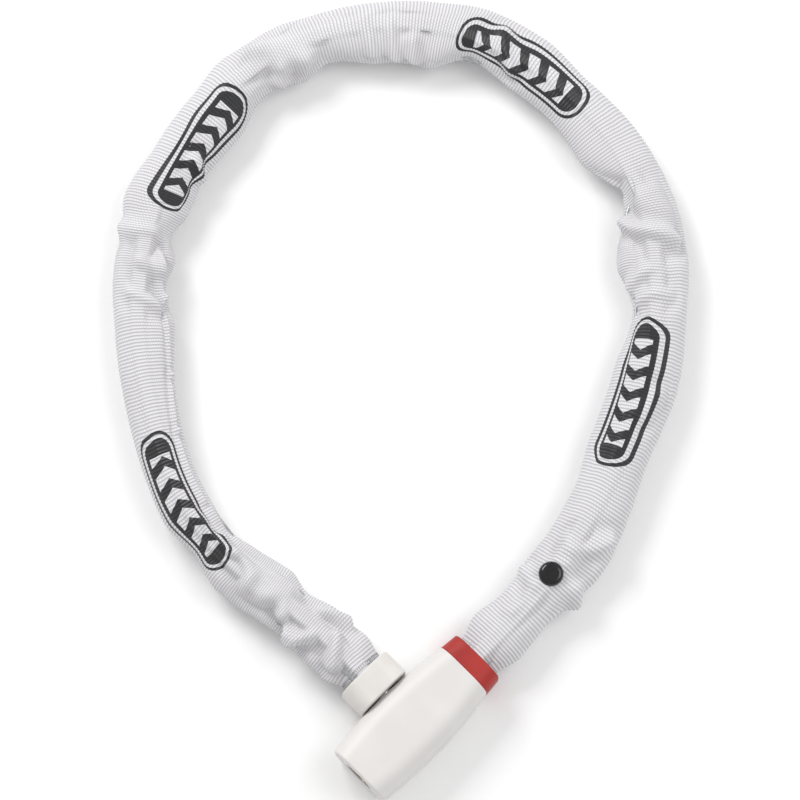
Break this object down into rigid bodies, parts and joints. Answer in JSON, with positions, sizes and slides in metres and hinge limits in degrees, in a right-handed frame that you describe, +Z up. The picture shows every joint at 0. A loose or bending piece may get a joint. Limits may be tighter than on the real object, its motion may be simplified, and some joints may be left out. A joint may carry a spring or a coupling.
{
  "type": "chain lock",
  "caption": "Loop chain lock: barrel-shaped lock body with red collar, square-link chain in a ribbed fabric sleeve, stud with a moulded cap.",
  "frame": {"origin": "centre of the bounding box, on the surface the lock lies on", "axes": "+Z up from the surface, +Y from the lock body towards the far end of the loop"},
  "size_m": [0.2507, 0.355, 0.025],
  "materials": {
    "cover_plastic": "soft-touch moulded",
    "collar_plastic": "satin moulded",
    "cap_plastic": "satin moulded",
    "sleeve_fabric": "ribbed woven",
    "rivet_black": "gloss enamel",
    "chain_steel": "zinc plated",
    "cast_zinc": "die cast",
    "lock_brass": "turned",
    "hard_steel": "ground"
  },
  "bodies": {
    "lock_body": {"body_cover": "cover_plastic", "end_collar": "collar_plastic", "collar_clips": "hard_steel", "keyway_bezel": "hard_steel", "lock_core": "cast_zinc", "cylinder_housing": "lock_brass", "cylinder_pin": "hard_steel", "socket_bush": "hard_steel", "anchor_pin": "hard_steel", "anchor_link": "chain_steel", "fixed_sleeve": "sleeve_fabric", "fixed_sleeve_clamp": "hard_steel"},
    "plug": {"key_plug": "lock_brass", "locking_cam": "hard_steel", "cam_screw": "hard_steel", "wafer_springs": "hard_steel"},
    "wafer_set": {"wafers": "lock_brass"},
    "span01": {"chain_links_01": "chain_steel", "sleeve_01": "sleeve_fabric", "rivet": "rivet_black", "rivet_washer": "hard_steel"},
    "span02": {"chain_links_02": "chain_steel", "sleeve_02": "sleeve_fabric"},
    "span03": {"chain_links_03": "chain_steel", "sleeve_03": "sleeve_fabric"},
    "span04": {"chain_links_04": "chain_steel", "sleeve_04": "sleeve_fabric"},
    "span05": {"chain_links_05": "chain_steel", "sleeve_05": "sleeve_fabric"},
    "span06": {"chain_links_06": "chain_steel", "sleeve_06": "sleeve_fabric"},
    "span07": {"chain_links_07": "chain_steel", "sleeve_07": "sleeve_fabric"},
    "span08": {"chain_links_08": "chain_steel", "sleeve_08": "sleeve_fabric"},
    "span09": {"chain_links_09": "chain_steel", "sleeve_09": "sleeve_fabric"},
    "span10": {"chain_links_10": "chain_steel", "sleeve_10": "sleeve_fabric"},
    "span11": {"chain_links_11": "chain_steel", "sleeve_11": "sleeve_fabric"},
    "span12": {"chain_links_12": "chain_steel", "sleeve_12": "sleeve_fabric"},
    "stud": {"locking_stud": "hard_steel", "stud_cap": "cap_plastic", "stud_pin": "hard_steel", "end_sleeve": "sleeve_fabric", "end_sleeve_clamp": "hard_steel"}
  },
  "joints": [
    {"name": "chain_open", "type": "hinge", "parent": "lock_body", "child": "span01", "pos_m": [0.0424, -0.1063, 0.012], "axis": [0, 0, 1], "range_deg": [0, 17]},
    {"name": "chain_bend_01", "type": "hinge", "parent": "span01", "child": "span02", "pos_m": [0.08321, -0.05214, 0.012], "axis": [0, 0, 1], "range_deg": [0, 2.86]},
    {"name": "chain_bend_02", "type": "hinge", "parent": "span02", "child": "span03", "pos_m": [0.10467, -0.00159, 0.012], "axis": [0, 0, 1], "range_deg": [-7.03, 0]},
    {"name": "chain_bend_03", "type": "hinge", "parent": "span03", "child": "span04", "pos_m": [0.11056, 0.06572, 0.012], "axis": [0, 0, 1], "range_deg": [-12.32, 0]},
    {"name": "chain_bend_04", "type": "hinge", "parent": "span04", "child": "span05", "pos_m": [0.09051, 0.1164, 0.012], "axis": [0, 0, 1], "range_deg": [-11.82, 0]},
    {"name": "chain_bend_05", "type": "hinge", "parent": "span05", "child": "span06", "pos_m": [0.03774, 0.15813, 0.012], "axis": [0, 0, 1], "range_deg": [-6.6, 0]},
    {"name": "chain_bend_06", "type": "hinge", "parent": "span06", "child": "span07", "pos_m": [-0.01625, 0.16509, 0.012], "axis": [0, 0, 1], "range_deg": [-1.57, 0]},
    {"name": "chain_bend_07", "type": "hinge", "parent": "span07", "child": "span08", "pos_m": [-0.07611, 0.13503, 0.012], "axis": [0, 0, 1], "range_deg": [0, 3.26]},
    {"name": "chain_bend_08", "type": "hinge", "parent": "span08", "child": "span09", "pos_m": [-0.10523, 0.08882, 0.012], "axis": [0, 0, 1], "range_deg": [0, 4.85]},
    {"name": "chain_bend_09", "type": "hinge", "parent": "span09", "child": "span10", "pos_m": [-0.11301, 0.02177, 0.012], "axis": [0, 0, 1], "range_deg": [0, 6.07]},
    {"name": "chain_bend_10", "type": "hinge", "parent": "span10", "child": "span11", "pos_m": [-0.1003, -0.03162, 0.012], "axis": [0, 0, 1], "range_deg": [0, 6.3]},
    {"name": "chain_bend_11", "type": "hinge", "parent": "span11", "child": "span12", "pos_m": [-0.05953, -0.08496, 0.012], "axis": [0, 0, 1], "range_deg": [0, 2.63]},
    {"name": "chain_bend_12", "type": "hinge", "parent": "span12", "child": "stud", "pos_m": [-0.01763, -0.12051, 0.012], "axis": [0, 0, 1], "range_deg": [-3.63, 0]},
    {"name": "key_turn", "type": "hinge", "parent": "lock_body", "child": "plug", "pos_m": [-0.01063, -0.15933, 0.0125], "axis": [-0.7071, -0.7071, 0], "range_deg": [0, 90]},
    {"name": "wafer_lift", "type": "slide", "parent": "plug", "child": "wafer_set", "axis": [0, 0, 1], "range_m": [0, 0.0008], "stiffness_N_per_m": 60}
  ],
  "couplings": [
    {"joint": "chain_bend_01", "follows": "chain_open", "ratio": 0.13874},
    {"joint": "chain_bend_02", "follows": "chain_open", "ratio": -0.38385},
    {"joint": "chain_bend_03", "follows": "chain_open", "ratio": -0.69556},
    {"joint": "chain_bend_04", "follows": "chain_open", "ratio": -0.66565},
    {"joint": "chain_bend_05", "follows": "chain_open", "ratio": -0.35877},
    {"joint": "chain_bend_06", "follows": "chain_open", "ratio": -0.062831},
    {"joint": "chain_bend_07", "follows": "chain_open", "ratio": 0.16247},
    {"joint": "chain_bend_08", "follows": "chain_open", "ratio": 0.25598},
    {"joint": "chain_bend_09", "follows": "chain_open", "ratio": 0.32746},
    {"joint": "chain_bend_10", "follows": "chain_open", "ratio": 0.34118},
    {"joint": "chain_bend_11", "follows": "chain_open", "ratio": 0.12507},
    {"joint": "chain_bend_12", "follows": "chain_open", "ratio": -0.18424}
  ]
}
